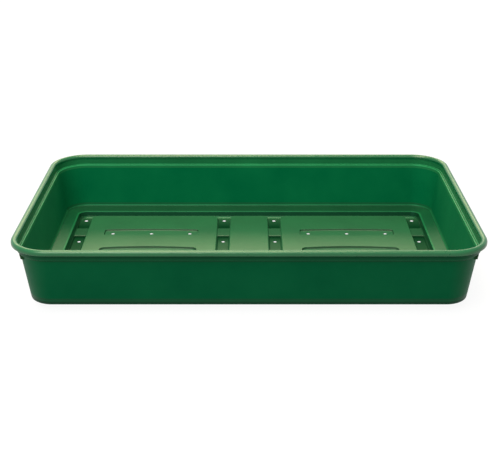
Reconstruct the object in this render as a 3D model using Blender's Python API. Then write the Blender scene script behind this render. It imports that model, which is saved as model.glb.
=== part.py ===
"""Seed tray: one thin plastic moulding, modelled as the zones that make it up.

Metres, +Z up. The long side runs along X, the front faces -Y and the tray stands on Z = 0.
"""

import math

import bmesh
import bpy
from mathutils import Matrix, Vector

# Overall sizes, over the rim
LENGTH = 0.380
WIDTH = 0.240
HEIGHT = 0.060
CORNER_RADIUS = 0.032

# Wall thickness of the moulding, and the gap between two zones
WALL = 0.0016
GAP = 0.0003

# Rim: a lip that turns out and down
RIM_WIDTH = 0.0050
LIP_DROP = 0.0042
LIP_WALL = 0.0012
RIM_INNER_ROUND = 0.0021
RIM_OUTER_ROUND = 0.0022

# Lid seat: an upright band, then a narrow ledge
SEAT_DEPTH = 0.0090
SEAT_WIDTH = 0.0021
BAND_LEAN = 0.0002
SEAT_SKIRT = 0.0028

# Walls and stacking lugs
WALL_DRAFT = math.radians(8.35)
LUG_REACH = 0.0233
LUG_START = 0.0130
LUG_END = 0.0160
LUG_HEIGHT = 0.0042

# Base step: the sloping ledge round the floor, and its inner face
FOOT_HEIGHT = 0.0108
FOOT_UPSTAND = 0.0030
STEP_WIDTH = 0.0110
STEP_FALL = 0.0024
FACE_LEAN = 0.0012
FOOT_ROUND = 0.0028

# Floor: three panels between four drain channels
PANEL_TOP = 0.0044
MIDDLE_CHANNEL_WIDTH = 0.0128
END_CHANNEL_WIDTH = 0.0119
MIDDLE_CHANNEL_SPACING = 0.0484
CHANNEL_LEAN = 0.0015
CHANNEL_END_LEAN = 0.0065
BRIDGE_DROP = 0.0014
BRIDGE_LENGTH = 0.0183
END_POCKET_LENGTH = 0.0280

# Drain holes and the hollows that lead to them
HOLE_DIAMETER = 0.0036
END_HOLE_INSET = 0.0070
MIDDLE_HOLE_INSET = 0.0094
PANEL_HOLE_PITCH = 0.0363
PANEL_ROW_PITCH = 0.0530
HOLLOW_LENGTH = 0.0886
HOLLOW_BULGE = 0.0020
SIDE_HOLLOW_WIDTH = 0.0130
SIDE_HOLLOW_DEPTH = 0.0009
SIDE_HOLLOW_CORNER = 0.0026
CENTRE_HOLLOW_WIDTH = 0.0352
CENTRE_HOLLOW_DEPTH = 0.0020
CENTRE_HOLLOW_CORNER = 0.0050

# Facets on round stretches
CORNER_STEPS = 10
LUG_STEPS = 3
HOLE_SEGMENTS = 16
BULGE_STEPS = 14
ROUND_STEPS = 5

# How far a cutter runs past the surface that it cuts
OVERSHOOT = 0.0020
# Points this close are one point
MERGE_DISTANCE = 0.000001

# Look of the plastic
GREEN = (0.004, 0.075, 0.028, 1.0)
ROUGHNESS = 0.35

# Sizes that follow from the ones above
SEAT_HEIGHT = HEIGHT - SEAT_DEPTH
LIP_HEIGHT = HEIGHT - LIP_DROP
BAND_INSET = RIM_WIDTH + BAND_LEAN
SEAT_INSET = BAND_INSET + SEAT_WIDTH
WALL_TOP = SEAT_HEIGHT - SEAT_SKIRT
WALL_ACROSS = WALL / math.cos(WALL_DRAFT)
FOOT_TOP = FOOT_HEIGHT + FOOT_UPSTAND
FOOT_INSET = SEAT_INSET + (SEAT_HEIGHT - FOOT_HEIGHT) * math.tan(WALL_DRAFT)
STEP_INSET = FOOT_INSET + STEP_WIDTH
FACE_INSET = STEP_INSET + FACE_LEAN
FLOOR_INSET = FACE_INSET - WALL
FLOOR_HALF_X = LENGTH / 2 - FLOOR_INSET
FLOOR_HALF_Y = WIDTH / 2 - FLOOR_INSET
FLOOR_RADIUS = CORNER_RADIUS - FLOOR_INSET
PANEL_UNDERSIDE = PANEL_TOP - WALL
BRIDGE_TOP = PANEL_TOP - BRIDGE_DROP
BRIDGE_FAR = FLOOR_HALF_Y - WALL - END_POCKET_LENGTH
BRIDGE_NEAR = BRIDGE_FAR - BRIDGE_LENGTH
MIDDLE_CHANNEL_X = MIDDLE_CHANNEL_SPACING / 2
MIDDLE_BODY_HALF = MIDDLE_CHANNEL_WIDTH / 2 + WALL
END_BODY_WIDTH = END_CHANNEL_WIDTH + 2 * WALL
END_CHANNEL_X = FLOOR_HALF_X - END_BODY_WIDTH / 2
CENTRE_PANEL_HALF = MIDDLE_CHANNEL_X - MIDDLE_BODY_HALF - GAP
SIDE_PANEL_START = MIDDLE_CHANNEL_X + MIDDLE_BODY_HALF + GAP
SIDE_PANEL_END = FLOOR_HALF_X - END_BODY_WIDTH - GAP
SIDE_PANEL_X = (SIDE_PANEL_START + SIDE_PANEL_END) / 2


def new_collection(name):
    collection = bpy.data.collections.new(name)
    bpy.context.scene.collection.children.link(collection)
    return collection


def new_plastic(name):
    material = bpy.data.materials.new(name)
    material.use_nodes = True
    shader = material.node_tree.nodes["Principled BSDF"]
    shader.inputs["Base Color"].default_value = GREEN
    shader.inputs["Roughness"].default_value = ROUGHNESS
    shader.inputs["Metallic"].default_value = 0.0
    return material


def add_part(name, bm, place=(0, 0, 0)):
    """Turn a finished bmesh into a named part with its own material, set down at a place."""
    bmesh.ops.recalc_face_normals(bm, faces=bm.faces[:])
    mesh = bpy.data.meshes.new(name)
    bm.to_mesh(mesh)
    bm.free()
    part = bpy.data.objects.new(name, mesh)
    part.data.materials.append(new_plastic(name + "_plastic"))
    parts.objects.link(part)
    part.parent = tray
    part.location = place
    return part


def add_cutter(name, bm, place):
    """Turn a finished bmesh into a tool for a Boolean, left out of renders, set down at a place."""
    bmesh.ops.recalc_face_normals(bm, faces=bm.faces[:])
    mesh = bpy.data.meshes.new(name)
    bm.to_mesh(mesh)
    bm.free()
    cutter = bpy.data.objects.new(name, mesh)
    cutter.hide_render = True
    cutter.display_type = "WIRE"
    cutters.objects.link(cutter)
    cutter.location = place
    return cutter


def combine(part, tool, operation):
    modifier = part.modifiers.new(tool.name, "BOOLEAN")
    modifier.operation = operation
    modifier.solver = "EXACT"
    modifier.object = tool


def corner_centre(corner):
    """Centre of a plan corner, counted anticlockwise from the back right."""
    side_x = 1 if corner % 4 in (0, 3) else -1
    side_y = 1 if corner % 4 in (0, 1) else -1
    return Vector((side_x * (LENGTH / 2 - CORNER_RADIUS), side_y * (WIDTH / 2 - CORNER_RADIUS), 0))


def place_profile(bm, profile, corner, angle):
    """Stand a closed profile of (inset, height) points across the tray's edge at a corner."""
    outward = Vector((math.cos(angle), math.sin(angle), 0))
    centre = corner_centre(corner)
    points = [centre + outward * (CORNER_RADIUS - inset) + Vector((0, 0, height))
              for inset, height in profile]
    loop = [bm.verts.new(point) for point in points]
    return [bm.edges.new((loop[i - 1], loop[i])) for i in range(len(loop))]


def turn(bm, edges, corner, angle, steps):
    """Spin a profile round a plan corner and return its edges at the far end."""
    ends = {vert for edge in edges for vert in edge.verts}
    spun = bmesh.ops.spin(bm, geom=edges + list(ends), cent=corner_centre(corner), axis=(0, 0, 1),
                          angle=angle, steps=steps)
    return [item for item in spun["geom_last"] if isinstance(item, bmesh.types.BMEdge)]


def run(bm, edges, vector):
    """Extrude a profile along a straight side and return its edges at the far end."""
    extruded = bmesh.ops.extrude_edge_only(bm, edges=edges)["geom"]
    moved = [item for item in extruded if isinstance(item, bmesh.types.BMVert)]
    bmesh.ops.translate(bm, verts=moved, vec=vector)
    return [item for item in extruded if isinstance(item, bmesh.types.BMEdge)
            and all(vert in moved for vert in item.verts)]


def side_run(corner):
    return corner_centre(corner + 1) - corner_centre(corner)


def close_ends(bm):
    bmesh.ops.holes_fill(bm, edges=[edge for edge in bm.edges if edge.is_boundary])


def swept_ring(name, profile):
    """A zone that runs all the way round the tray."""
    bm = bmesh.new()
    edges = place_profile(bm, profile, 0, 0)
    for corner in range(4):
        edges = turn(bm, edges, corner, math.pi / 2, CORNER_STEPS)
        edges = run(bm, edges, side_run(corner))
    bmesh.ops.remove_doubles(bm, verts=bm.verts[:], dist=MERGE_DISTANCE)
    return add_part(name, bm)


def swept_side(name, profile, corner):
    """A zone along one side, mitred at the middle of the corner at each end."""
    smallest_radius = CORNER_RADIUS - max(inset for inset, height in profile)
    setback = math.asin(GAP / 2 / smallest_radius)
    half_turn = math.pi / 4 - setback
    bm = bmesh.new()
    edges = place_profile(bm, profile, corner, (corner + 0.5) * math.pi / 2 + setback)
    edges = turn(bm, edges, corner, half_turn, CORNER_STEPS // 2)
    edges = run(bm, edges, side_run(corner))
    turn(bm, edges, corner + 1, half_turn, CORNER_STEPS // 2)
    close_ends(bm)
    return add_part(name, bm)


def box(low, high):
    """A bmesh box between two corners."""
    bm = bmesh.new()
    low = Vector(low)
    high = Vector(high)
    size = high - low
    matrix = Matrix.Translation((low + high) / 2) @ Matrix.Diagonal((size.x, size.y, size.z, 1))
    bmesh.ops.create_cube(bm, size=1, matrix=matrix)
    return bm


def round_upright_edges(bm, side, radius):
    """Round the two upright edges of a box that face out along X."""
    limit = max(side * vert.co.x for vert in bm.verts) - MERGE_DISTANCE
    upright = [edge for edge in bm.edges
               if all(side * vert.co.x > limit for vert in edge.verts)
               and abs(edge.verts[0].co.z - edge.verts[1].co.z) > MERGE_DISTANCE]
    bmesh.ops.bevel(bm, geom=upright, offset=radius, segments=CORNER_STEPS, profile=0.5, affect="EDGES")


def prism(points, low, high):
    """A bmesh prism over a flat outline, between two heights."""
    bm = bmesh.new()
    face = bm.faces.new([bm.verts.new((x, y, low)) for x, y in points])
    top = bmesh.ops.extrude_face_region(bm, geom=[face])["geom"]
    moved = [item for item in top if isinstance(item, bmesh.types.BMVert)]
    bmesh.ops.translate(bm, verts=moved, vec=(0, 0, high - low))
    return bm


def hole_cutter(name, x, y):
    """A drain hole right through the floor."""
    bm = bmesh.new()
    bmesh.ops.create_cone(bm, cap_ends=True, segments=HOLE_SEGMENTS, radius1=HOLE_DIAMETER / 2,
                          radius2=HOLE_DIAMETER / 2, depth=PANEL_TOP + 2 * OVERSHOOT)
    return add_cutter(name, bm, (x, y, PANEL_TOP / 2))


def wall_inset(height):
    """Inset of the wall's inner surface at a height."""
    return SEAT_INSET + (SEAT_HEIGHT - height) * math.tan(WALL_DRAFT)


def step_height(inset):
    """Height of the base step's top surface at an inset."""
    return FOOT_HEIGHT - STEP_FALL * (inset - FOOT_INSET) / STEP_WIDTH


def arc(centre_inset, centre_height, radius, start, stop):
    """Points of a rounded edge in a profile, as (inset, height)."""
    angles = [start + (stop - start) * i / ROUND_STEPS for i in range(ROUND_STEPS + 1)]
    return [(centre_inset + radius * math.cos(a), centre_height + radius * math.sin(a)) for a in angles]


def rim_profile():
    """The lip, from the band's inner face over the crown and down to the lip's edge."""
    foot = LIP_HEIGHT
    groove_top = HEIGHT - WALL
    inner_round = arc(RIM_WIDTH - RIM_INNER_ROUND, HEIGHT - RIM_INNER_ROUND, RIM_INNER_ROUND, 0, math.pi / 2)
    outer_round = arc(RIM_OUTER_ROUND, HEIGHT - RIM_OUTER_ROUND, RIM_OUTER_ROUND, math.pi / 2, math.pi)
    groove = [(0, foot), (LIP_WALL, foot), (LIP_WALL, groove_top), (RIM_WIDTH - WALL, groove_top)]
    return inner_round + outer_round + groove + [(RIM_WIDTH - WALL, foot), (RIM_WIDTH, foot)]


def lid_seat_profile():
    """The upright band under the rim, the ledge for a lid and the start of the wall."""
    top = LIP_HEIGHT - GAP
    underside = SEAT_HEIGHT - WALL
    inner_foot = wall_inset(WALL_TOP)
    return [(RIM_WIDTH, top), (BAND_INSET, SEAT_HEIGHT), (SEAT_INSET, SEAT_HEIGHT),
            (inner_foot, WALL_TOP), (inner_foot - WALL_ACROSS, WALL_TOP),
            (wall_inset(underside) - WALL_ACROSS, underside), (BAND_INSET - WALL, underside),
            (RIM_WIDTH - WALL, top)]


def wall_profile():
    """The tapered wall, between the lid seat and the base step."""
    top = WALL_TOP - GAP
    foot = FOOT_TOP + GAP
    return [(wall_inset(top), top), (wall_inset(foot), foot),
            (wall_inset(foot) - WALL_ACROSS, foot), (wall_inset(top) - WALL_ACROSS, top)]


def base_step_profile():
    """The wall's foot, the sloping ledge and the inner face down to the floor."""
    face_foot = PANEL_TOP + GAP
    inner_corner = STEP_INSET - WALL
    underside = FOOT_HEIGHT - WALL
    round_height = underside + FOOT_ROUND
    round_inset = wall_inset(round_height) - WALL_ACROSS + FOOT_ROUND
    inside = [(wall_inset(FOOT_TOP), FOOT_TOP), (FOOT_INSET, FOOT_HEIGHT),
              (STEP_INSET, step_height(STEP_INSET)), (FACE_INSET, face_foot)]
    below = [(FLOOR_INSET, face_foot), (inner_corner, step_height(inner_corner) - WALL)]
    outer_round = arc(round_inset, round_height, FOOT_ROUND, 1.5 * math.pi, math.pi)
    return inside + below + outer_round + [(wall_inset(FOOT_TOP) - WALL_ACROSS, FOOT_TOP)]


def make_walls():
    for corner, side in enumerate(("back", "left", "front", "right")):
        swept_side(side + "_wall", wall_profile(), corner)


def make_stacking_lugs():
    """Small blocks outside the four corners, flat on the outside, that sit on the seat of a tray below."""
    top = SEAT_HEIGHT - WALL - GAP
    skin = CORNER_RADIUS - wall_inset(top) + WALL_ACROSS + GAP
    start = math.asin(LUG_START / skin)
    stop = math.asin(LUG_END / skin)
    outline = [(LUG_REACH, LUG_END), (LUG_REACH, LUG_START)]
    for i in range(LUG_STEPS + 1):
        angle = start + (stop - start) * i / LUG_STEPS
        outline.append((skin * math.cos(angle), skin * math.sin(angle)))
    for side_y, depth in ((1, "back"), (-1, "front")):
        for side_x, hand in ((1, "right"), (-1, "left")):
            bm = prism(outline, top - LUG_HEIGHT, top)
            bmesh.ops.translate(bm, verts=bm.verts[:], vec=corner_centre(0))
            bmesh.ops.scale(bm, verts=bm.verts[:], vec=(side_x, side_y, 1))
            add_part(depth + "_" + hand + "_stacking_lug", bm)


def lean_in(bm, side_lean, end_lean):
    """Draw in the lower corners of a channel's box, so that its sides and ends slope."""
    half = max(vert.co.x for vert in bm.verts)
    end = max(vert.co.y for vert in bm.verts)
    top = max(vert.co.z for vert in bm.verts)
    for vert in bm.verts:
        if vert.co.z < top - MERGE_DISTANCE:
            vert.co.x -= side_lean * vert.co.x / half
            vert.co.y -= end_lean * vert.co.y / end


def trough_cutter(name, place, width, side):
    """The open space of a channel: full width at the top, narrower at the pocket floor."""
    half = width / 2
    end = FLOOR_HALF_Y - WALL
    bm = box((-half, -end, WALL), (half, end, PANEL_TOP))
    if side:
        round_upright_edges(bm, side, FLOOR_RADIUS - WALL)
    lean_in(bm, CHANNEL_LEAN, CHANNEL_END_LEAN * (PANEL_TOP - WALL) / PANEL_TOP)
    top = [face for face in bm.faces if face.calc_center_median().z > PANEL_TOP - MERGE_DISTANCE]
    lifted = bmesh.ops.extrude_face_region(bm, geom=top)["geom"]
    bmesh.ops.delete(bm, geom=top, context="FACES_ONLY")
    moved = [item for item in lifted if isinstance(item, bmesh.types.BMVert)]
    bmesh.ops.translate(bm, verts=moved, vec=(0, 0, OVERSHOOT))
    return add_cutter(name, bm, place)


def make_channel(name, x, width, side):
    """A drain channel: a trough with two bridges across it and four drain holes.

    side is -1 or 1 for the channel at that end of the tray, whose outer corners are rounded, or 0.
    """
    place = (x, 0, 0)
    half = width / 2 + WALL
    bm = box((-half, -FLOOR_HALF_Y, 0), (half, FLOOR_HALF_Y, PANEL_TOP))
    if side:
        round_upright_edges(bm, side, FLOOR_RADIUS)
    lean_in(bm, 0, CHANNEL_END_LEAN)
    channel = add_part(name, bm, place)
    combine(channel, trough_cutter(name + "_trough", place, width, side), "DIFFERENCE")
    grip = width / 2 + WALL / 2
    clear = width / 2 - CHANNEL_LEAN
    for end, side_y in (("back", 1), ("front", -1)):
        near, far = sorted((side_y * BRIDGE_NEAR, side_y * BRIDGE_FAR))
        bridge = box((-grip, near, WALL / 2), (grip, far, BRIDGE_TOP))
        combine(channel, add_cutter(name + "_" + end + "_bridge", bridge, place), "UNION")
        under = box((-clear, near + WALL, -OVERSHOOT), (clear, far - WALL, BRIDGE_TOP - WALL))
        combine(channel, add_cutter(name + "_" + end + "_underside", under, place), "DIFFERENCE")
        for row, y in (("outer", FLOOR_HALF_Y - WALL - END_HOLE_INSET),
                       ("inner", BRIDGE_NEAR - MIDDLE_HOLE_INSET)):
            hole = hole_cutter(name + "_" + end + "_" + row + "_hole", x, side_y * y)
            combine(channel, hole, "DIFFERENCE")


def hollow_outline(width, corner):
    """A long hollow whose two long sides bow outward, with rounded ends."""
    half_length = HOLLOW_LENGTH / 2
    chord = half_length - corner
    points = []
    for turn_start in (0, math.pi):
        facing = math.cos(turn_start)
        for i in range(ROUND_STEPS):
            angle = turn_start + math.pi / 2 * i / ROUND_STEPS
            points.append((facing * chord + corner * math.cos(angle),
                           facing * (width / 2 - corner) + corner * math.sin(angle)))
        for i in range(BULGE_STEPS + 1):
            along = 1 - 2 * i / BULGE_STEPS
            points.append((facing * chord * along, facing * (width / 2 + HOLLOW_BULGE * (1 - along ** 2))))
        for i in range(1, ROUND_STEPS + 1):
            angle = turn_start + math.pi / 2 + math.pi / 2 * i / ROUND_STEPS
            points.append((-facing * chord + corner * math.cos(angle),
                           facing * (width / 2 - corner) + corner * math.sin(angle)))
    return points


def make_side_panel(name, side):
    """A floor panel with one deep hollow, two shallow ones and a row of holes in each."""
    x = side * SIDE_PANEL_X
    place = (x, 0, 0)
    half = (SIDE_PANEL_END - SIDE_PANEL_START) / 2
    plate = box((-half, -FLOOR_HALF_Y, PANEL_UNDERSIDE), (half, FLOOR_HALF_Y, PANEL_TOP))
    panel = add_part(name, plate, place)
    deep_floor = PANEL_TOP - CENTRE_HOLLOW_DEPTH
    tub = prism(hollow_outline(CENTRE_HOLLOW_WIDTH + 2 * WALL, CENTRE_HOLLOW_CORNER + WALL),
                deep_floor - WALL, PANEL_UNDERSIDE + WALL / 2)
    combine(panel, add_cutter(name + "_tub", tub, place), "UNION")
    deep = prism(hollow_outline(CENTRE_HOLLOW_WIDTH, CENTRE_HOLLOW_CORNER), deep_floor, PANEL_TOP + OVERSHOOT)
    combine(panel, add_cutter(name + "_centre_hollow", deep, place), "DIFFERENCE")
    for row in (-1, 1):
        shallow = prism(hollow_outline(SIDE_HOLLOW_WIDTH, SIDE_HOLLOW_CORNER),
                        PANEL_TOP - SIDE_HOLLOW_DEPTH, PANEL_TOP + OVERSHOOT)
        cutter = add_cutter(name + "_side_hollow", shallow, (x, row * PANEL_ROW_PITCH, 0))
        combine(panel, cutter, "DIFFERENCE")
    for row in (-1, 0, 1):
        for column in (-1, 0, 1):
            hole = hole_cutter(name + "_hole", x + column * PANEL_HOLE_PITCH, row * PANEL_ROW_PITCH)
            combine(panel, hole, "DIFFERENCE")


def make_centre_panel():
    add_part("centre_floor_panel", box((-CENTRE_PANEL_HALF, -FLOOR_HALF_Y, PANEL_UNDERSIDE),
                                       (CENTRE_PANEL_HALF, FLOOR_HALF_Y, PANEL_TOP)))


for old in list(bpy.data.objects):
    bpy.data.objects.remove(old, do_unlink=True)

parts = new_collection("seed_tray")
cutters = new_collection("seed_tray_cutters")
tray = bpy.data.objects.new("seed_tray_origin", None)
parts.objects.link(tray)

swept_ring("rim", rim_profile())
swept_ring("lid_seat", lid_seat_profile())
make_walls()
swept_ring("base_step", base_step_profile())
make_stacking_lugs()
make_centre_panel()
for sign, hand_name in ((-1, "left"), (1, "right")):
    make_side_panel(hand_name + "_floor_panel", sign)
    make_channel(hand_name + "_middle_channel", sign * MIDDLE_CHANNEL_X, MIDDLE_CHANNEL_WIDTH, 0)
    make_channel(hand_name + "_end_channel", sign * END_CHANNEL_X, END_CHANNEL_WIDTH, sign)
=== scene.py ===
import math

import bpy
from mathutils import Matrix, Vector, geometry


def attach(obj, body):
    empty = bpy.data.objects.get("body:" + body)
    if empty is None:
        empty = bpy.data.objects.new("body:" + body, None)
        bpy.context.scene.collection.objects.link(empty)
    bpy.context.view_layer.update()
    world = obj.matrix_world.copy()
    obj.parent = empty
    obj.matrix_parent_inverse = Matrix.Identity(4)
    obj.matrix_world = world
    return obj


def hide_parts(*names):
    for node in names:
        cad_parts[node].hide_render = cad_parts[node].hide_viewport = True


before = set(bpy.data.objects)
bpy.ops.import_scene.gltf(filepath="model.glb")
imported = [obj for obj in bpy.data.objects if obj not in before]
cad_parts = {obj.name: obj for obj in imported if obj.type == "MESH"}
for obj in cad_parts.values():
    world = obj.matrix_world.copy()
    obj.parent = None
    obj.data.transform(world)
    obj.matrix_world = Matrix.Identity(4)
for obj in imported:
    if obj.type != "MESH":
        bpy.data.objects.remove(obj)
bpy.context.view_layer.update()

# Lengths are in millimetres, and meshes are scaled to metres when they are made
MM = 0.001

# The tray as a whole. The form follows the solids, apart from rounds, thinner walls and floors,
# lower bridges, narrower holes and a wider rim
LENGTH = 380.0
WIDTH = 240.0
HEIGHT = 60.0
CORNER_RADIUS = 32.0
WALL = 1.0
FLOOR_WALL = 1.6

# Rim and lid seat
RIM_WIDTH = 5.3
RIM_WALL = 1.6
RIM_OUTER_ROUND = 2.6
RIM_INNER_ROUND = 2.5
LIP_HEIGHT = 55.8
LIP_WALL = 1.2
LIP_ROUND = 0.5
GROOVE_INNER_ROUND = 0.6
GROOVE_OUTER_ROUND = 0.8
BAND_TOP_INSET = 5.0
BAND_INSET = 5.1
BAND_FOOT_ROUND = 0.6
SEAT_HEIGHT = 51.0
SEAT_WALL = 0.7
SEAT_INSET = 7.3
SEAT_EDGE_ROUND = 0.9
SEAT_UNDER_EDGE_ROUND = 0.4
SEAT_UNDER_BAND_ROUND = 0.3

# Walls, their foot and the ledge round the floor
WALL_TOP = 48.2
FOOT_TOP = 13.8
FOOT_HEIGHT = 10.8
FOOT_INSET = 13.2
FOOT_UNDERSIDE = 7.9
FOOT_ROUND = 1.8
WALL_SLOPE = (FOOT_INSET - SEAT_INSET) / (SEAT_HEIGHT - FOOT_HEIGHT)
WALL_ACROSS = WALL / math.cos(math.atan(WALL_SLOPE))
STEP_WIDTH = 11.0
STEP_FALL = 2.4
STEP_EDGE_ROUND = 0.9
STEP_UNDER_ROUND = 0.8
FACE_LEAN = 1.2
STEP_INSET = FOOT_INSET + STEP_WIDTH
STEP_HEIGHT = FOOT_HEIGHT - STEP_FALL
FACE_INSET = STEP_INSET + FACE_LEAN
FLOOR_INSET = FACE_INSET - FLOOR_WALL

# Floor: the ledge's inner face bounds what is seen of it, and its pieces end under the ledge
PANEL_TOP = 4.4
PANEL_UNDERSIDE = PANEL_TOP - FLOOR_WALL
FACE_X = LENGTH / 2 - FACE_INSET
FACE_Y = WIDTH / 2 - FACE_INSET
FACE_RADIUS = CORNER_RADIUS - FACE_INSET
EDGE_X = LENGTH / 2 - FLOOR_INSET
EDGE_Y = WIDTH / 2 - FLOOR_INSET
EDGE_RADIUS = CORNER_RADIUS - FLOOR_INSET

# Drain channels, with the strip on each side of a channel's middle that takes in its flared ends
MIDDLE_CHANNEL_X = 24.2
MIDDLE_CHANNEL_HALF = 6.4
END_CHANNEL_HALF = 5.95
END_CHANNEL_X = FACE_X - END_CHANNEL_HALF
STRIP_HALF = 13.0
STRIP_MARGIN = 0.05
CHANNEL_LEAN = 1.5
CHANNEL_EDGE_ROUND = 0.8
CHANNEL_FOOT_ROUND = 0.8
END_FACE_LEAN = 0.4
END_FACE_ROUND = 0.03
CENTRE_PANEL_CORNER = 4.5
SIDE_PANEL_CORNER = 6.0
END_PANEL_CORNER = 5.0
POCKET_WALL = 0.7
POCKET_FLOOR = POCKET_WALL
POCKET_END = 2.4
POCKET_END_LEAN = 0.5
POCKET_END_ROUND = 1.0
POCKET_LIP_ROUND = 0.05
BRIDGE_TOP = 2.8
BRIDGE_NEAR = 48.3
BRIDGE_FAR = 66.6
BRIDGE_NEAR_LEAN = 0.15
BRIDGE_FAR_LEAN = 0.3
BRIDGE_NEAR_ROUND = 0.6
BRIDGE_FAR_ROUND = 0.5
BRIDGE_FOOT_ROUND = 0.6
OUTER_HOLE_Y = 87.6
INNER_HOLE_Y = 38.9

# Underside of a channel
UNDER_GROW = 1.5
UNDER_EDGE_ROUND = 0.4
UNDER_CORNER_ROUND = 1.0
UNDER_END_OUTSET = 0.6
UNDER_END_INSET = 1.1
UNDER_END_ROUND = 0.3
UNDER_POCKET_ROUND = 0.8
UNDER_BRIDGE_FOOT = 1.2
UNDER_BRIDGE_TOP = 1.6
UNDER_FOOT_ROUND = 0.5
UNDER_BRIDGE_ROUND = 0.4

# Floor panels and their hollows. A kind of hollow is its width, bulge, corner radius, depth and soften
SIDE_PANEL_X = 92.2
PANEL_ROW_PITCH = 53.0
PANEL_HOLE_PITCH = 36.3
PANEL_END_ROUND = 1.2
HOLLOW_LENGTH = 88.6
HOLLOW_WALL = 0.7
HOLLOW_LEAN = 0.3
HOLLOW_EDGE_ROUND = 0.12
HOLLOW_FOOT_SHARE = 0.25
WIDE_HOLLOW = (35.0, 2.4, 5.0, 2.0, 0)
NARROW_HOLLOW = (13.2, 1.6, 2.6, 1.5, 3)
TUB_LEAN = 0.2
TUB_ROUND = 0.2

# Drain holes: a rounded lip, a bore and a wider relief below it
HOLE_RADIUS = 1.6
HOLE_LIP = 0.3
HOLE_MARGIN = 0.5
BORE_SHARE = 0.6
BORE_EDGE = 0.02
RELIEF_START = 0.1
RELIEF_TOP = 0.6
RELIEF_FOOT = 0.7

# Stacking lugs
LUG_TOP = 50.5
LUG_FOOT = 46.2
LUG_REACH = 23.3
LUG_START = math.radians(22)
LUG_END_Y = 15.7
LUG_SINK = 0.5
LUG_LEAN = 0.8
LUG_EDGE = 0.3
LUG_EDGE_STEPS = 3
LUG_EDGE_ANGLE = math.radians(40)

# Mesh steps. HOLE_PATCH is half the width of the square of cells round a channel's drain hole
CORNER_STEPS = 28
ARC_SEGMENTS = 6
LUG_STEPS = 8
LIP_STEPS = 4
BOW_STEPS = 26
TURN_STEPS = 8
HOLE_POINTS = 24
RING_TURN = 0.3
HOLE_PATCH = 3.0
PATCH_CELLS = 6
ROW_GAP = 0.01
LEAST_DEPTH = 0.02
ROUND_SHARE = 0.45

# Length of a stretch that only gives the end of a rounded line its direction
LEAD = 1.0

# Finish: green and blue of the plastic at the dark and light ends of its flow marks
DARK_MARK = (0.106, 0.037)
LIGHT_MARK = (0.128, 0.0445)
RED_SPREAD = 0.002
GLOSS_SPREAD = 0.02
GRAIN_DISTANCE = 0.0002
FULL_SHINE = 0.5
NOISE_RANGE = (0.3, 0.7)

# Noise scale, detail and roughness
FLOW_NOISE = (28, 4, 0.55)
GLOSS_NOISE = (160, 4, 0.6)
GRAIN_NOISE = (900, 3, 0.6)

# Where the painted light and shade begin and end: as a part of the face's normal, in metres for the
# outside shade, and in millimetres for the rest
STEEP_SHADE_RANGE = (0.4, 0.9)
RUN_SHADE_RANGE = (0.08, 0.2)
OUTSIDE_SHADE_RANGE = (0, 0.03)
POCKET_LIT_Y = 34.9
END_HIGHLIGHT_RANGE = (FACE_Y - 2.4, FACE_Y - 1.4)
END_HIGHLIGHT_TOP_RANGE = (3.4, 4.2)

# Camera as fitted to the photo, with its place in metres and its tilt in degrees
PHOTO_WIDTH = 500
FOCAL_PIXELS = 1040.3
SHIFT_PIXELS = 0.95
SENSOR_WIDTH = 36.0
CAMERA_PLACE = (0, -0.8542, 0.3815)
CAMERA_TILT = 22.758

# Stage: seen directly or as a reflection, the floor and the world are white, and otherwise they light less
STAGE_HALF = 6.0
STAGE_DROP = 0.0002
STAGE_GREY = 0.4
STAGE_SEEN_GREY = 0.1
STAGE_GLOW = 0.93
WORLD_LIGHT = 0.2
WORLD_SEEN = 1.0

# Lights: name, place, target, width, height, power, colour
LIGHTS = (("back_softbox", (-0.2, 1.45, 0.95), (0, 0, 0.05), 1.6, 0.55, 12.5, (1.0, 0.96, 0.55)),
          ("top_softbox", (-0.15, -0.08, 1.5), (0, 0, 0), 1.0, 0.7, 22.5, (1.0, 0.97, 0.7)),
          ("front_key", (-0.45, -1.15, 1.2), (0, 0, 0), 1.0, 0.8, 19, (0.98, 1.0, 1.0)))


def rotated(vector, angle):
    c = math.cos(angle)
    s = math.sin(angle)
    return (vector[0] * c - vector[1] * s, vector[0] * s + vector[1] * c)


def rounded(corners):
    """A polyline with each corner (a, b, radius) rounded, as points (a, b, normal a, normal b).

    The normal points to the left of the direction of travel.
    """
    points = []
    for i, (a, b, radius) in enumerate(corners):
        before = None
        after = None
        if i > 0:
            length = math.dist(corners[i - 1][:2], (a, b))
            before = ((a - corners[i - 1][0]) / length, (b - corners[i - 1][1]) / length)
        if i < len(corners) - 1:
            length = math.dist(corners[i + 1][:2], (a, b))
            after = ((corners[i + 1][0] - a) / length, (corners[i + 1][1] - b) / length)
        if before is None or after is None:
            along = after or before
            points.append((a, b, -along[1], along[0]))
            continue
        turn = math.atan2(before[0] * after[1] - before[1] * after[0],
                          before[0] * after[0] + before[1] * after[1])
        side = 1 if turn > 0 else -1
        reach = radius * math.tan(abs(turn) / 2)
        start = (a - before[0] * reach, b - before[1] * reach)
        left = (-before[1], before[0])
        centre = (start[0] + side * radius * left[0], start[1] + side * radius * left[1])
        for k in range(ARC_SEGMENTS + 1):
            normal = rotated(left, turn * k / ARC_SEGMENTS)
            points.append((centre[0] - side * radius * normal[0], centre[1] - side * radius * normal[1],
                           normal[0], normal[1]))
    return points


def make_piece(name, verts, faces, normals, node, material):
    """A mesh piece in metres, smooth, with the given vertex normals, that stands for a CAD node."""
    mesh = bpy.data.meshes.new(name)
    mesh.from_pydata([(x * MM, y * MM, z * MM) for x, y, z in verts], [], faces)
    mesh.polygons.foreach_set("use_smooth", [True] * len(mesh.polygons))
    mesh.normals_split_custom_set_from_vertices(normals)
    mesh.materials.append(material)
    piece = bpy.data.objects.new(name, mesh)
    bpy.context.scene.collection.objects.link(piece)
    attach(piece, "root")
    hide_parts(node)
    return piece


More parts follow.
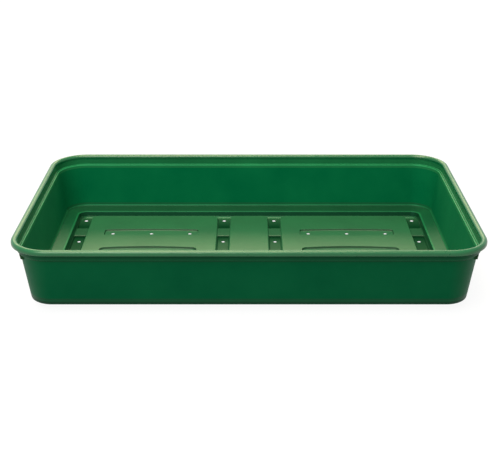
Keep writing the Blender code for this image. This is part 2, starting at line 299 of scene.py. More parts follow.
def skin_normals(verts, faces):
    """Vertex normals weighted by face area, so that flats stay flat beside small rounds."""
    sums = [Vector((0, 0, 0)) for _ in verts]
    points = [Vector(vert) for vert in verts]
    for face in faces:
        area = Vector((0, 0, 0))
        for i in range(1, len(face) - 1):
            area += (points[face[i]] - points[face[0]]).cross(points[face[i + 1]] - points[face[0]])
        for index in face:
            sums[index] += area
    return [total.normalized() if total.length > 0 else Vector((0, 0, 1)) for total in sums]


def corner_centre(corner):
    side_x = 1 if corner % 4 in (0, 3) else -1
    side_y = 1 if corner % 4 in (0, 1) else -1
    return side_x * (LENGTH / 2 - CORNER_RADIUS), side_y * (WIDTH / 2 - CORNER_RADIUS)


def corner_stations(corner, start, stop, steps):
    """Places along a plan corner, as (centre x, centre y, angle).

    start and stop are shares of the corner's quarter turn.
    """
    x, y = corner_centre(corner)
    return [(x, y, (corner + start + (stop - start) * k / steps) * math.pi / 2) for k in range(steps + 1)]


def sweep(name, chain, stations, closed, node, material):
    """Carry a closed profile of (inset, height, normal) points along the tray's edge."""
    verts = []
    normals = []
    for x, y, angle in stations:
        out_x = math.cos(angle)
        out_y = math.sin(angle)
        for inset, height, across, up in chain:
            reach = CORNER_RADIUS - inset
            verts.append((x + out_x * reach, y + out_y * reach, height))
            normals.append((-across * out_x, -across * out_y, up))
    count = len(chain)
    faces = []
    for j in range(len(stations) if closed else len(stations) - 1):
        here = j * count
        there = (j + 1) % len(stations) * count
        for i in range(count):
            k = (i + 1) % count
            faces.append((here + i, there + i, there + k, here + k))
    if not closed:
        last = (len(stations) - 1) * count
        faces.append(tuple(range(count)))
        faces.append(tuple(last + i for i in reversed(range(count))))
    make_piece(name, verts, faces, normals, node, material)


def ring_stations():
    stations = []
    for corner in range(4):
        stations += corner_stations(corner, 0, 1, CORNER_STEPS)
    return stations


def wall_inset(height):
    return SEAT_INSET + (SEAT_HEIGHT - height) * WALL_SLOPE


def wall_outset(height):
    return wall_inset(height) - WALL_ACROSS


def make_rim():
    groove = HEIGHT - RIM_WALL
    chain = rounded([(BAND_TOP_INSET - SEAT_WALL, LIP_HEIGHT, 0),
                     (RIM_WIDTH - LIP_WALL, groove, GROOVE_INNER_ROUND),
                     (LIP_WALL, groove, GROOVE_OUTER_ROUND), (LIP_WALL, LIP_HEIGHT, LIP_ROUND),
                     (0, LIP_HEIGHT, LIP_ROUND), (0, HEIGHT, RIM_OUTER_ROUND),
                     (RIM_WIDTH, HEIGHT, RIM_INNER_ROUND), (BAND_TOP_INSET, LIP_HEIGHT, 0)])
    sweep("rolled_rim", chain, ring_stations(), True, "rim", rim_plastic)


def make_lid_seat():
    under = SEAT_HEIGHT - SEAT_WALL
    inside = rounded([(BAND_TOP_INSET, LIP_HEIGHT, 0), (BAND_INSET, SEAT_HEIGHT, BAND_FOOT_ROUND),
                      (SEAT_INSET, SEAT_HEIGHT, SEAT_EDGE_ROUND), (wall_inset(WALL_TOP), WALL_TOP, 0)])
    outside = rounded([(wall_outset(WALL_TOP), WALL_TOP, 0),
                       (wall_outset(under), under, SEAT_UNDER_EDGE_ROUND),
                       (BAND_INSET - SEAT_WALL, under, SEAT_UNDER_BAND_ROUND),
                       (BAND_TOP_INSET - SEAT_WALL, LIP_HEIGHT, 0)])
    sweep("lid_ledge", inside + outside, ring_stations(), True, "lid_seat", seat_plastic)


def make_walls():
    """Four walls that meet in the middle of the tray's corners."""
    inside = rounded([(wall_inset(WALL_TOP), WALL_TOP, 0), (wall_inset(FOOT_TOP), FOOT_TOP, 0)])
    outside = rounded([(wall_outset(FOOT_TOP), FOOT_TOP, 0), (wall_outset(WALL_TOP), WALL_TOP, 0)])
    for corner, side in enumerate(("back", "left", "front", "right")):
        stations = (corner_stations(corner, 0.5, 1, CORNER_STEPS // 2)
                    + corner_stations(corner + 1, 0, 0.5, CORNER_STEPS // 2))
        sweep(side + "_side", inside + outside, stations, False, side + "_wall", wall_plastic)


def make_base_step():
    inside = rounded([(wall_inset(FOOT_TOP), FOOT_TOP, 0), (FOOT_INSET, FOOT_HEIGHT, FOOT_ROUND),
                      (STEP_INSET, STEP_HEIGHT, STEP_EDGE_ROUND), (FACE_INSET, PANEL_TOP, 0)])
    outside = rounded([(FLOOR_INSET, PANEL_TOP, 0),
                       (STEP_INSET - FLOOR_WALL, STEP_HEIGHT - FLOOR_WALL, STEP_UNDER_ROUND),
                       (wall_outset(FOOT_UNDERSIDE), FOOT_UNDERSIDE, FOOT_ROUND),
                       (wall_outset(FOOT_TOP), FOOT_TOP, 0)])
    sweep("floor_ledge", inside + outside, ring_stations(), True, "base_step", step_plastic)


def lug_plan(height):
    """A lug's outline at a height, as (x, y) from the centre of the back right corner."""
    reach = LUG_REACH - LUG_LEAN * (LUG_TOP - height) / (LUG_TOP - LUG_FOOT)
    inner = CORNER_RADIUS - wall_outset(height) - LUG_SINK
    stop = math.asin(LUG_END_Y / inner)
    plan = [(reach, LUG_END_Y), (reach, reach * math.tan(LUG_START))]
    for k in range(LUG_STEPS + 1):
        angle = LUG_START + (stop - LUG_START) * k / LUG_STEPS
        plan.append((inner * math.cos(angle), inner * math.sin(angle)))
    return plan


def make_lugs():
    """Lugs whose straight outer faces stand off the curve of the wall, and end in a flat face."""
    x, y = corner_centre(0)
    count = len(lug_plan(LUG_TOP))
    for side_y, depth in ((1, "back"), (-1, "front")):
        for side_x, hand in ((1, "right"), (-1, "left")):
            name = depth + "_" + hand
            verts = [(side_x * (x + px), side_y * (y + py), height)
                     for height in (LUG_FOOT, LUG_TOP) for px, py in lug_plan(height)]
            faces = [tuple(range(count)), tuple(reversed(range(count, 2 * count)))]
            for k in range(count):
                n = (k + 1) % count
                faces.append((k, count + k, count + n, n))
            if side_x * side_y < 0:
                faces = [tuple(reversed(face)) for face in faces]
            piece = make_piece(name + "_lug", verts, faces, skin_normals(verts, faces),
                               name + "_stacking_lug", shaded_lug_plastic)
            bevel = piece.modifiers.new("soft_edges", "BEVEL")
            bevel.width = LUG_EDGE * MM
            bevel.segments = LUG_EDGE_STEPS
            bevel.limit_method = "ANGLE"
            bevel.angle_limit = LUG_EDGE_ANGLE
            bevel.harden_normals = True


def chain_rows(corners, extras):
    """Rows along a channel: the rounded line of its floor, with extra rows on its straight stretches."""
    points = [(point[0], point[1]) for point in rounded(corners)]
    rows = []
    for i, (y, z) in enumerate(points):
        if i:
            y0, z0 = points[i - 1]
            inside = [e for e in extras if y0 + ROW_GAP < e < y - ROW_GAP]
            rows += [(e, z0 + (z - z0) * (e - y0) / (y - y0)) for e in inside]
        rows.append((y, z))
    return rows


def side_points(edge, boundary, level, floor, lean, top_round, foot_round, outward):
    """Half of a channel's section: from the piece's boundary over the edge and down to the floor."""
    deep = max(abs(level - floor), LEAST_DEPTH)
    down = -1 if floor < level else 1
    floor = level + down * deep
    slope = lean * deep / (PANEL_TOP - POCKET_FLOOR)
    top = min(top_round, ROUND_SHARE * deep)
    foot = min(foot_round, ROUND_SHARE * deep)
    line = rounded([(-LEAD, level, 0), (0, level, top), (slope, floor, foot), (slope + LEAD, floor, 0)])
    return [(boundary, level)] + [(edge - outward * d, z) for d, z, _, _ in line[1:-1]]


def hole_levels(top, bottom):
    """Loops (radius, height) down a drain hole: a rounded lip, a short bore and a wider relief below."""
    web = (top - bottom) * BORE_SHARE
    lip = min(HOLE_LIP, 0.5 * web)
    levels = [(HOLE_RADIUS + HOLE_MARGIN, top)]
    for k in range(LIP_STEPS + 1):
        angle = math.pi / 2 / LIP_STEPS * k
        levels.append((HOLE_RADIUS + lip * (1 - math.sin(angle)), top - lip * (1 - math.cos(angle))))
    levels.append((HOLE_RADIUS, top - web + BORE_EDGE))
    levels += [(HOLE_RADIUS + wider, top - web) for wider in (RELIEF_START, RELIEF_TOP)]
    levels.append((HOLE_RADIUS + RELIEF_FOOT, bottom))
    return levels


def corner_reach(y, end, radius):
    """What is left at row y of the radius of a plan corner that ends at the row end."""
    run = max(0.0, min(abs(y) - (end - radius), radius))
    return math.sqrt(max(radius ** 2 - run ** 2, 0))


def make_channel(name, node, x, half, corner_radii, end_side, material):
    """A drain channel with flared ends, two bridges and four drain holes, as one closed strip of floor.

    corner_radii are those of the panel corners on its left and right. end_side is -1 or 1 for the channel
    at that end of the tray, whose outer side runs down from the ledge's inner face, or 0.
    """
    top_line = [(-EDGE_Y, PANEL_TOP - LEAST_DEPTH, 0), (-FACE_Y, PANEL_TOP - LEAST_DEPTH, POCKET_LIP_ROUND),
                (-FACE_Y + POCKET_END_LEAN, POCKET_END, POCKET_END_ROUND),
                (-BRIDGE_FAR - BRIDGE_FAR_LEAN, POCKET_FLOOR, BRIDGE_FOOT_ROUND),
                (-BRIDGE_FAR + BRIDGE_FAR_LEAN, BRIDGE_TOP, BRIDGE_FAR_ROUND),
                (-BRIDGE_NEAR - BRIDGE_NEAR_LEAN, BRIDGE_TOP, BRIDGE_NEAR_ROUND),
                (-BRIDGE_NEAR + BRIDGE_NEAR_LEAN, POCKET_FLOOR, BRIDGE_FOOT_ROUND)]
    low_line = [(-EDGE_Y, PANEL_UNDERSIDE - LEAST_DEPTH, 0),
                (-FACE_Y - UNDER_END_OUTSET, PANEL_UNDERSIDE - LEAST_DEPTH, UNDER_END_ROUND),
                (-FACE_Y + UNDER_END_INSET, POCKET_END - POCKET_WALL, UNDER_POCKET_ROUND),
                (-BRIDGE_FAR + UNDER_BRIDGE_FOOT, 0, UNDER_FOOT_ROUND),
                (-BRIDGE_FAR + UNDER_BRIDGE_TOP, BRIDGE_TOP - FLOOR_WALL, UNDER_BRIDGE_ROUND),
                (-BRIDGE_NEAR - UNDER_BRIDGE_TOP, BRIDGE_TOP - FLOOR_WALL, UNDER_BRIDGE_ROUND),
                (-BRIDGE_NEAR - UNDER_BRIDGE_FOOT, 0, UNDER_FOOT_ROUND)]
    holes = [sign * y for sign in (-1, 1) for y in (OUTER_HOLE_Y, INNER_HOLE_Y)]
    cell = 2 * HOLE_PATCH / PATCH_CELLS
    extras = sorted(y - HOLE_PATCH + k * cell for y in holes for k in range(PATCH_CELLS + 1))
    top_rows, low_rows = [chain_rows(line + [(-y, z, r) for y, z, r in reversed(line)], extras)
                          for line in (top_line, low_line)]
    columns = [x - HOLE_PATCH + k * cell for k in range(PATCH_CELLS + 1)]

    def edge_and_boundary(y, side, grow):
        """The channel's edge on one side at a row, wider by grow, and the strip's own side."""
        if side == end_side:
            edge = FACE_X - FACE_RADIUS + corner_reach(y, FACE_Y, FACE_RADIUS) + grow
            boundary = EDGE_X - EDGE_RADIUS + corner_reach(y, EDGE_Y, EDGE_RADIUS)
            return side * min(edge, boundary - LEAST_DEPTH), side * boundary
        radius = corner_radii[0 if side < 0 else 1]
        flare = radius - corner_reach(y, FACE_Y, radius)
        return x + side * min(half + flare + grow, STRIP_HALF - STRIP_MARGIN), x + side * STRIP_HALF

    def section(y, floor, level, grow, top_round, foot_round):
        sides = []
        for side in (-1, 1):
            edge, boundary = edge_and_boundary(y, side, grow)
            lean, edge_round = CHANNEL_LEAN, top_round
            if side == end_side:
                lean, edge_round = END_FACE_LEAN, END_FACE_ROUND
            sides.append(side_points(edge, boundary, level, floor, lean, edge_round, foot_round, side))
        z = sides[0][-1][1]
        return sides[0] + [(column, z) for column in columns] + sides[1][::-1]

    verts = []
    for rows, *shape in ((top_rows, PANEL_TOP, 0.0, CHANNEL_EDGE_ROUND, CHANNEL_FOOT_ROUND),
                         (low_rows, PANEL_UNDERSIDE, UNDER_GROW, UNDER_EDGE_ROUND, UNDER_CORNER_ROUND)):
        for y, floor in rows:
            verts += [(px, y, pz) for px, pz in section(y, floor, *shape)]
    count = len(top_rows)
    base = len(verts) // 2
    width = base // count
    first_column = (width - len(columns)) // 2

    def patch_start(y):
        return min(range(count), key=lambda j: abs(top_rows[j][0] - (y - HOLE_PATCH)))

    starts = [patch_start(y) for y in holes]
    holed = {(j, i) for start in starts for j in range(start, start + PATCH_CELLS)
             for i in range(first_column, first_column + PATCH_CELLS)}
    faces = []
    for j in range(count - 1):
        for i in range(width - 1):
            if (j, i) in holed:
                continue
            a = j * width + i
            faces.append((a, a + 1, a + width + 1, a + width))
            faces.append((base + a, base + a + width, base + a + width + 1, base + a + 1))
    around = 4 * PATCH_CELLS
    for start, y in zip(starts, holes):
        square = ([(start, first_column + k) for k in range(PATCH_CELLS)]
                  + [(start + k, first_column + PATCH_CELLS) for k in range(PATCH_CELLS)]
                  + [(start + PATCH_CELLS, first_column + PATCH_CELLS - k) for k in range(PATCH_CELLS)]
                  + [(start + PATCH_CELLS - k, first_column) for k in range(PATCH_CELLS)])
        loops = [[j * width + i for j, i in square]]
        near = loops[0][0]
        far = loops[0][2 * PATCH_CELLS]
        slope = (verts[far][2] - verts[near][2]) / (verts[far][1] - verts[near][1])
        middle = (verts[near][2] + verts[far][2]) / 2
        bottom = (verts[base + near][2] + verts[base + far][2]) / 2
        for radius, height in hole_levels(middle, bottom):
            ring = []
            for k in range(around):
                # The square's first corner lies at five eighths of a turn
                angle = -0.75 * math.pi + 2 * math.pi * k / around
                ring.append(len(verts))
                rise = radius * math.sin(angle)
                verts.append((x + radius * math.cos(angle), y + rise, height + slope * rise))
            loops.append(ring)
        loops.append([base + index for index in loops[0]])
        for outer, inner in zip(loops, loops[1:]):
            for k in range(around):
                n = (k + 1) % around
                faces.append((outer[k], outer[n], inner[n], inner[k]))
    normals = skin_normals(verts, faces)
    for j in range(count - 1):
        for i in (0, width - 1):
            a = j * width + i
            quad = (a, a + width, base + a + width, base + a)
            faces.append(quad if i == 0 else quad[::-1])
    for j in (0, count - 1):
        for i in range(width - 1):
            a = j * width + i
            quad = (a, base + a, base + a + 1, a + 1)
            faces.append(quad if j == 0 else quad[::-1])
    make_piece(name, verts, faces, normals, node, material)


def hollow_outline(x, y, width, bulge, corner):
    """A long hollow whose two long sides bow outward, as (x, y, normal x, normal y), anticlockwise."""
    chord = HOLLOW_LENGTH / 2 - corner
    points = []
    for start in (0, math.pi):
        facing = math.cos(start)
        for i in range(TURN_STEPS):
            angle = start + math.pi / 2 * i / TURN_STEPS
            points.append((facing * chord + corner * math.cos(angle),
                           facing * (width / 2 - corner) + corner * math.sin(angle)))
        for i in range(BOW_STEPS + 1):
            along = 1 - 2 * i / BOW_STEPS
            points.append((facing * chord * along, facing * (width / 2 + bulge * (1 - along ** 2))))
        for i in range(1, TURN_STEPS):
            angle = start + math.pi / 2 + math.pi / 2 * i / TURN_STEPS
            points.append((-facing * chord + corner * math.cos(angle),
                           facing * (width / 2 - corner) + corner * math.sin(angle)))
    outline = []
    for i, (px, py) in enumerate(points):
        back = points[i - 1]
        front = points[(i + 1) % len(points)]
        length = math.dist(back, front)
        outline.append((x + px, y + py, (front[1] - back[1]) / length, -(front[0] - back[0]) / length))
    return outline


def flat_faces(outer, holes, verts, up):
    """Triangles over a flat polygon with holes; all are lists of vertex indices."""
    lines = [[Vector((verts[i][0], verts[i][1], 0)) for i in line] for line in [outer] + holes]
    index = [i for line in [outer] + holes for i in line]
    faces = []
    for a, b, c in geometry.tessellate_polygon(lines):
        face = (index[a], index[b], index[c])
        p, q, r = (verts[i] for i in face)
        turn = (q[0] - p[0]) * (r[1] - p[1]) - (q[1] - p[1]) * (r[0] - p[0])
        faces.append(face if (turn > 0) == up else face[::-1])
    return faces


def make_panel(name, node, left, right, hollows):
    """A floor panel: a thin plate with hollows, each with a row of drain holes and a tub below it.

    hollows holds (x, y, width, bulge, corner, depth, soften) rows, where soften widens the slope on the side
    that faces the tray's middle.
    """
    verts = []
    faces = []

    def add_loop(points, z):
        loop = list(range(len(verts), len(verts) + len(points)))
        verts.extend((px, py, z) for px, py in points)
        return loop

    def join(outer, inner):
        """Bridge two anticlockwise loops of one length; the surface faces the inner one's side."""
        for k in range(len(outer)):
            n = (k + 1) % len(outer)
            faces.append((outer[k], outer[n], inner[n], inner[k]))

    def plate(z, inset):
        y = EDGE_Y - inset
        return add_loop([(left, -y), (right, -y), (right, y), (left, y)], z)

    top_holes = []
    low_holes = []
    for x, y, width, bulge, corner, depth, soften in hollows:
        outline = hollow_outline(x, y, width, bulge, corner)
        floor = PANEL_TOP - depth
        lean = depth * HOLLOW_LEAN
        section = rounded([(-LEAD, PANEL_TOP, 0), (0, PANEL_TOP, HOLLOW_EDGE_ROUND),
                           (lean, floor, HOLLOW_FOOT_SHARE * depth), (lean + LEAD, floor, 0)])[1:-1]
        middle = -1 if y > 0 else 1
        loops = []
        for d, z, _, _ in section:
            points = []
            for px, py, nx, ny in outline:
                push = d * (1 + soften * max(0.0, middle * ny) ** 2)
                points.append((px - nx * push, py - ny * push))
            loops.append(add_loop(points, z))
        for outer, inner in zip(loops, loops[1:]):
            join(outer, inner)
        top_holes.append(loops[0])
        under = floor - HOLLOW_WALL
        floor_holes = []
        under_holes = []
        for column in (-1, 0, 1):
            # Each hole's ring is turned a little, so that no three of their points lie on one line
            angles = [2 * math.pi * (k + RING_TURN * column) / HOLE_POINTS for k in range(HOLE_POINTS)]
            rings = []
            for radius, z in hole_levels(floor, under):
                rings.append(add_loop([(x + column * PANEL_HOLE_PITCH + radius * math.cos(a),
                                        y + radius * math.sin(a)) for a in angles], z))
            for outer, inner in zip(rings, rings[1:]):
                join(outer, inner)
            floor_holes.append(rings[0])
            under_holes.append(rings[-1])
        faces.extend(flat_faces(loops[-1], floor_holes, verts, True))
        tub = hollow_outline(x, y, width + 2 * FLOOR_WALL, bulge, corner + FLOOR_WALL)
        tub_section = rounded([(LEAD, PANEL_UNDERSIDE, 0), (0, PANEL_UNDERSIDE, TUB_ROUND),
                               (-TUB_LEAN, under, TUB_ROUND), (-TUB_LEAN - LEAD, under, 0)])[1:-1]
        tub_loops = [add_loop([(px + nx * d, py + ny * d) for px, py, nx, ny in tub], z)
                     for d, z, _, _ in tub_section]
        for outer, inner in zip(tub_loops, tub_loops[1:]):
            join(inner, outer)
        low_holes.append(tub_loops[0])
        faces.extend(flat_faces(tub_loops[-1], under_holes, verts, False))
    top = plate(PANEL_TOP, 0)
    faces.extend(flat_faces(top, top_holes, verts, True))
    end_section = rounded([(0, PANEL_TOP, 0), (0, PANEL_UNDERSIDE, PANEL_END_ROUND),
                           (LEAD, PANEL_UNDERSIDE, 0)])[1:-1]
    ends = [plate(z, inset) for inset, z, _, _ in end_section]
    faces.extend(flat_faces(ends[-1], low_holes, verts, False))
    normals = skin_normals(verts, faces)
    for upper, lower in zip([top] + ends, ends):
        join(lower, upper)
    for k, loop in enumerate(ends):
        share = math.pi / 2 * k / (len(ends) - 1)
        for index in loop:
            normals[index] = Vector((0, math.copysign(math.cos(share), verts[index][1]), -math.sin(share)))
    make_piece(name, verts, faces, normals, node, panel_plastic)


def make_floor():
    for sign, hand in ((-1, "left"), (1, "right")):
        radii = (CENTRE_PANEL_CORNER, SIDE_PANEL_CORNER)[::sign]
        make_channel(hand + "_middle_drain", hand + "_middle_channel", sign * MIDDLE_CHANNEL_X,
                     MIDDLE_CHANNEL_HALF, radii, 0, channel_plastic)
        make_channel(hand + "_end_drain", hand + "_end_channel", sign * END_CHANNEL_X, END_CHANNEL_HALF,
                     (END_PANEL_CORNER, END_PANEL_CORNER), sign, end_channel_plastic)
        left, right = sorted((sign * (MIDDLE_CHANNEL_X + STRIP_HALF), sign * (END_CHANNEL_X - STRIP_HALF)))
        x = sign * SIDE_PANEL_X
        hollows = [(x, 0, *WIDE_HOLLOW), (x, PANEL_ROW_PITCH, *NARROW_HOLLOW),
                   (x, -PANEL_ROW_PITCH, *NARROW_HOLLOW)]
        make_panel(hand + "_panel", hand + "_floor_panel", left, right, hollows)
    make_panel("centre_panel", "centre_floor_panel", STRIP_HALF - MIDDLE_CHANNEL_X,
               MIDDLE_CHANNEL_X - STRIP_HALF, [])


def make_plastic(name, painted_tone, red, roughness, ior, tint, painted_pocket_shade=None, outside=None, painted_bands=None, painted_steep_shade=None,
                 ends=None, painted_run_shade=None, grain=0.08):
    """Moulded polypropylene: dark green, satin, with fine grain and faint flow marks.

    The plastic is one colour, and the shades stand in for light. painted_tone scales the green and blue of
    each zone as painted light and shade. painted_pocket_shade describes the painted shade in drain channels,
    which get darker from shade_top and duller from shine_top down to low. Its shades and shines are the shade
    and the specular level at low, first where the middle pocket is well lit, then beside the bridges and
    beyond them. outside is the painted shade of the faces that look away from the tray's middle.
    painted_bands holds (height, shade) pairs for painted highlights along edges and painted shade in corners.
    painted_steep_shade is the painted shade of upright faces, ends the painted highlight on the sunken floor
    at the front and back ends, and painted_run_shade the painted shade of faces that lean to the front or
    back.
    """
    material = bpy.data.materials.new(name)
    material.use_nodes = True
    nodes = material.node_tree.nodes
    links = material.node_tree.links
    shader = nodes["Principled BSDF"]
    place = nodes.new("ShaderNodeTexCoord").outputs["Object"]

    def face(output):
        return nodes.new("ShaderNodeNewGeometry").outputs[output]

    def noise(scale, detail, noise_roughness):
        node = nodes.new("ShaderNodeTexNoise")
        node.inputs["Scale"].default_value = scale
        node.inputs["Detail"].default_value = detail
        node.inputs["Roughness"].default_value = noise_roughness
        links.new(place, node.inputs["Vector"])
        return node.outputs["Fac"]

    def spread(source, low, high, least, most):
        node = nodes.new("ShaderNodeMapRange")
        node.inputs["From Min"].default_value = low
        node.inputs["From Max"].default_value = high
        node.inputs["To Min"].default_value = least
        node.inputs["To Max"].default_value = most
        links.new(source, node.inputs["Value"])
        return node.outputs["Result"]

    def part(source, axis):
        node = nodes.new("ShaderNodeSeparateXYZ")
        links.new(source, node.inputs["Vector"])
        return node.outputs[axis]

    def absolute(source):
        node = nodes.new("ShaderNodeMath")
        node.operation = "ABSOLUTE"
        links.new(source, node.inputs[0])
        return node.outputs["Value"]

    def dimmed(source, shade):
        node = nodes.new("ShaderNodeVectorMath")
        node.operation = "SCALE"
        links.new(source, node.inputs["Vector"])
        links.new(shade, node.inputs["Scale"])
        return node.outputs["Vector"]

    # Flow marks, with green and blue scaled by the zone's tone, which is painted light and shade
    ramp = nodes.new("ShaderNodeValToRGB")
    marks = ((red, *DARK_MARK), (red + RED_SPREAD, *LIGHT_MARK))
    for stop, position, (mark_red, green, blue) in zip(ramp.color_ramp.elements, NOISE_RANGE, marks):
        stop.position = position
        stop.color = (mark_red, green * painted_tone, blue * painted_tone, 1)
    links.new(noise(*FLOW_NOISE), ramp.inputs["Fac"])
    colour = ramp.outputs["Color"]
    # Painted shade in the drain channels: darker colour and weaker reflections down towards the pocket
    # floors, most beside and beyond the bridges
    if painted_pocket_shade:
        height = part(place, "Z")
        low = painted_pocket_shade["low"] * MM
        run = (absolute(part(place, "Y")), POCKET_LIT_Y * MM, BRIDGE_NEAR * MM)
        shade = spread(height, low, painted_pocket_shade["shade_top"] * MM, 0, 1)
        links.new(spread(*run, *painted_pocket_shade["shades"]), shade.node.inputs["To Min"])
        colour = dimmed(colour, shade)
        shine = spread(height, low, painted_pocket_shade["shine_top"] * MM, 0, FULL_SHINE)
        links.new(spread(*run, *painted_pocket_shade["shines"]), shine.node.inputs["To Min"])
        links.new(shine, shader.inputs["Specular IOR Level"])
    # Painted highlights along edge lines and painted shade in corners, set by height
    if painted_bands:
        low = painted_bands[0][0]
        high = painted_bands[-1][0]
        shades = nodes.new("ShaderNodeValToRGB")
        stops = shades.color_ramp.elements
        while len(stops) < len(painted_bands):
            stops.new(1)
        for stop, (height, shade) in zip(stops, painted_bands):
            stop.position = (height - low) / (high - low)
            stop.color = (shade, shade, shade, 1)
        links.new(spread(part(place, "Z"), low * MM, high * MM, 0, 1), shades.inputs["Fac"])
        colour = dimmed(colour, shades.outputs["Color"])
    # Painted shade on upright faces
    if painted_steep_shade:
        colour = dimmed(colour, spread(part(face("Normal"), "Z"), *STEEP_SHADE_RANGE, painted_steep_shade, 1))
    # Painted shade on faces that lean to the front or back
    if painted_run_shade:
        colour = dimmed(colour, spread(absolute(part(face("Normal"), "Y")), *RUN_SHADE_RANGE, 1, painted_run_shade))
    # Painted highlight on the sunken floor at the front and back ends, below a height
    if ends:
        reach = absolute(part(place, "Y"))
        end_highlight = spread(reach, END_HIGHLIGHT_RANGE[0] * MM, END_HIGHLIGHT_RANGE[1] * MM, 1, ends)
        highlight_cap = spread(part(place, "Z"), END_HIGHLIGHT_TOP_RANGE[0] * MM, END_HIGHLIGHT_TOP_RANGE[1] * MM, ends, 1)
        links.new(highlight_cap, end_highlight.node.inputs["To Max"])
        colour = dimmed(colour, end_highlight)
    # Painted shade on faces that look away from the tray's middle
    if outside:
        away = nodes.new("ShaderNodeVectorMath")
        away.operation = "DOT_PRODUCT"
        links.new(face("Normal"), away.inputs[0])
        links.new(face("Position"), away.inputs[1])
        colour = dimmed(colour, spread(away.outputs["Value"], *OUTSIDE_SHADE_RANGE, 1, outside))
    links.new(colour, shader.inputs["Base Color"])
    gloss = spread(noise(*GLOSS_NOISE), *NOISE_RANGE, roughness - GLOSS_SPREAD, roughness + GLOSS_SPREAD)
    links.new(gloss, shader.inputs["Roughness"])
    bump = nodes.new("ShaderNodeBump")
    bump.inputs["Strength"].default_value = grain
    bump.inputs["Distance"].default_value = GRAIN_DISTANCE
    links.new(noise(*GRAIN_NOISE), bump.inputs["Height"])
    links.new(bump.outputs["Normal"], shader.inputs["Normal"])
    shader.inputs["IOR"].default_value = ior
    shader.inputs["Specular Tint"].default_value = tint
    return material


def make_camera():
    data = bpy.data.cameras.new("photo_camera")
    data.sensor_fit = "HORIZONTAL"
    data.sensor_width = SENSOR_WIDTH
    data.lens = FOCAL_PIXELS * SENSOR_WIDTH / PHOTO_WIDTH
    data.shift_x = SHIFT_PIXELS / PHOTO_WIDTH
    camera = bpy.data.objects.new("photo_camera", data)
    camera.location = CAMERA_PLACE
    camera.rotation_euler = (math.radians(90 - CAMERA_TILT), 0, 0)
    bpy.context.scene.collection.objects.link(camera)
    bpy.context.scene.camera = camera


def seen_rays(nodes, links):
    """A socket that is 1 for camera, glossy and transmission rays, and 0 for the others."""
    path = nodes.new("ShaderNodeLightPath")
    seen = path.outputs["Is Camera Ray"]
    for ray in ("Is Glossy Ray", "Is Transmission Ray"):
        either = nodes.new("ShaderNodeMath")
        either.operation = "MAXIMUM"
        links.new(seen, either.inputs[0])
        links.new(path.outputs[ray], either.inputs[1])
        seen = either.outputs["Value"]
    return seen


def make_stage():
    mesh = bpy.data.meshes.new("floor")
    corners = [(x * STAGE_HALF, y * STAGE_HALF, 0) for x, y in ((-1, -1), (1, -1), (1, 1), (-1, 1))]
    mesh.from_pydata(corners, [], [(0, 1, 2, 3)])
    floor = bpy.data.objects.new("floor", mesh)
    floor.location.z = -STAGE_DROP
    bpy.context.scene.collection.objects.link(floor)
    material = bpy.data.materials.new("pale_floor")
    material.use_nodes = True
    nodes = material.node_tree.nodes
    links = material.node_tree.links
    nodes.clear()

    def diffuse(grey):
        node = nodes.new("ShaderNodeBsdfDiffuse")
        node.inputs["Color"].default_value = (grey, grey, grey, 1)
        return node.outputs["BSDF"]

    glow = nodes.new("ShaderNodeEmission")
    glow.inputs["Color"].default_value = (1, 1, 1, 1)
    glow.inputs["Strength"].default_value = STAGE_GLOW
    white = nodes.new("ShaderNodeAddShader")
    links.new(diffuse(STAGE_SEEN_GREY), white.inputs[0])
    links.new(glow.outputs["Emission"], white.inputs[1])
    mix = nodes.new("ShaderNodeMixShader")
    links.new(seen_rays(nodes, links), mix.inputs["Fac"])
    links.new(diffuse(STAGE_GREY), mix.inputs[1])
    links.new(white.outputs["Shader"], mix.inputs[2])
    output = nodes.new("ShaderNodeOutputMaterial")
    links.new(mix.outputs["Shader"], output.inputs["Surface"])
    mesh.materials.append(material)


def add_light(name, place, target, size_x, size_y, power, colour):
    data = bpy.data.lights.new(name, "AREA")
    data.shape = "RECTANGLE"
    data.size = size_x
    data.size_y = size_y
    data.energy = power
    data.color = colour
    light = bpy.data.objects.new(name, data)
    light.location = place
    light.rotation_euler = (Vector(target) - Vector(place)).to_track_quat("-Z", "Y").to_euler()
    bpy.context.scene.collection.objects.link(light)


def make_lights():
    world = bpy.data.worlds.new("studio")
    bpy.context.scene.world = world
    world.use_nodes = True
    nodes = world.node_tree.nodes
    links = world.node_tree.links
    background = nodes["Background"]
    level = nodes.new("ShaderNodeMapRange")
    level.inputs["To Min"].default_value = WORLD_LIGHT
    level.inputs["To Max"].default_value = WORLD_SEEN
    links.new(seen_rays(nodes, links), level.inputs["Value"])
    links.new(level.outputs["Result"], background.inputs["Strength"])
    background.inputs["Color"].default_value = (1, 1, 1, 1)
    for light in LIGHTS:
        add_light(*light)


bpy.context.scene.view_settings.view_transform = "Standard"
# Lit and shaded copies of one plastic: each one's tone, bands and shades are painted light and shade, set
# zone by zone
rim_plastic = make_plastic("rim_green", painted_tone=0.95, red=0, roughness=0.29, ior=1.5, tint=(1, 0.95, 0.8, 1),
                           grain=0.03)
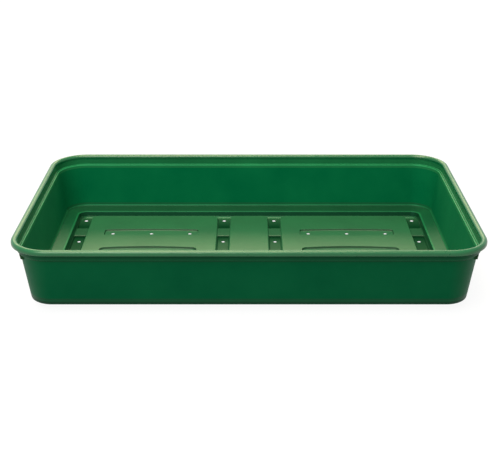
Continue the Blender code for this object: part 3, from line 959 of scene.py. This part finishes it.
# A painted highlight along the seat's edge line
seat_plastic = make_plastic("seat_green", painted_tone=1.25, red=0.011, roughness=0.42, ior=1.4,
                            tint=(0.1, 0.7, 0.4, 1), outside=0.36,
                            painted_bands=((50.2, 1), (50.7, 1.4), (51.0, 1.4), (51.5, 1)))
wall_plastic = make_plastic("wall_green", painted_tone=0.96, red=0, roughness=0.55, ior=1.4, tint=(0, 0.3, 0.2, 1),
                            outside=0.72)
# The lugs' low tone is painted shadow from the rim above them
shaded_lug_plastic = make_plastic("shaded_lug_green", painted_tone=0.45, red=0.01, roughness=0.6, ior=1.3, tint=(0.5, 0.5, 0.4, 1))
# Painted highlights on the ledge's edge lines, painted shade in its corners and on its front and back runs
step_plastic = make_plastic("step_green", painted_tone=0.92, red=0.007, roughness=0.45, ior=1.38,
                            tint=(0.2, 0.8, 0.5, 1), outside=0.58, painted_run_shade=0.66,
                            painted_bands=((7.2, 0.4), (8.0, 0.45), (8.25, 1.3), (8.5, 1.3), (8.8, 0.62),
                                   (10.4, 0.58), (11.0, 0.5), (11.4, 1.65), (11.8, 1.6), (12.4, 1.2),
                                   (13.8, 1.2)))
floor_finish_and_painted_tone = dict(painted_tone=0.84, red=0.008, roughness=0.47, ior=1.55, tint=(1, 1, 0.85, 1))
# Painted shade on the hollows' upright faces
panel_plastic = make_plastic("panel_green", **floor_finish_and_painted_tone, painted_steep_shade=0.5)
# Painted shade in the channels, and a painted highlight at their ends
channel_plastic = make_plastic("channel_green", **floor_finish_and_painted_tone, ends=1.8,
                               painted_pocket_shade=dict(low=1.2, shade_top=3.8, shine_top=2.8, shades=(0.62, 0.38),
                                         shines=(0.22, 0)))
end_channel_plastic = make_plastic("end_channel_green", **floor_finish_and_painted_tone, ends=1.8,
                                   painted_pocket_shade=dict(low=1.2, shade_top=4.4, shine_top=3.1, shades=(0.5, 0.38),
                                             shines=(0.08, 0)))
make_camera()
make_stage()
make_lights()
make_rim()
make_lid_seat()
make_walls()
make_base_step()
make_lugs()
make_floor()
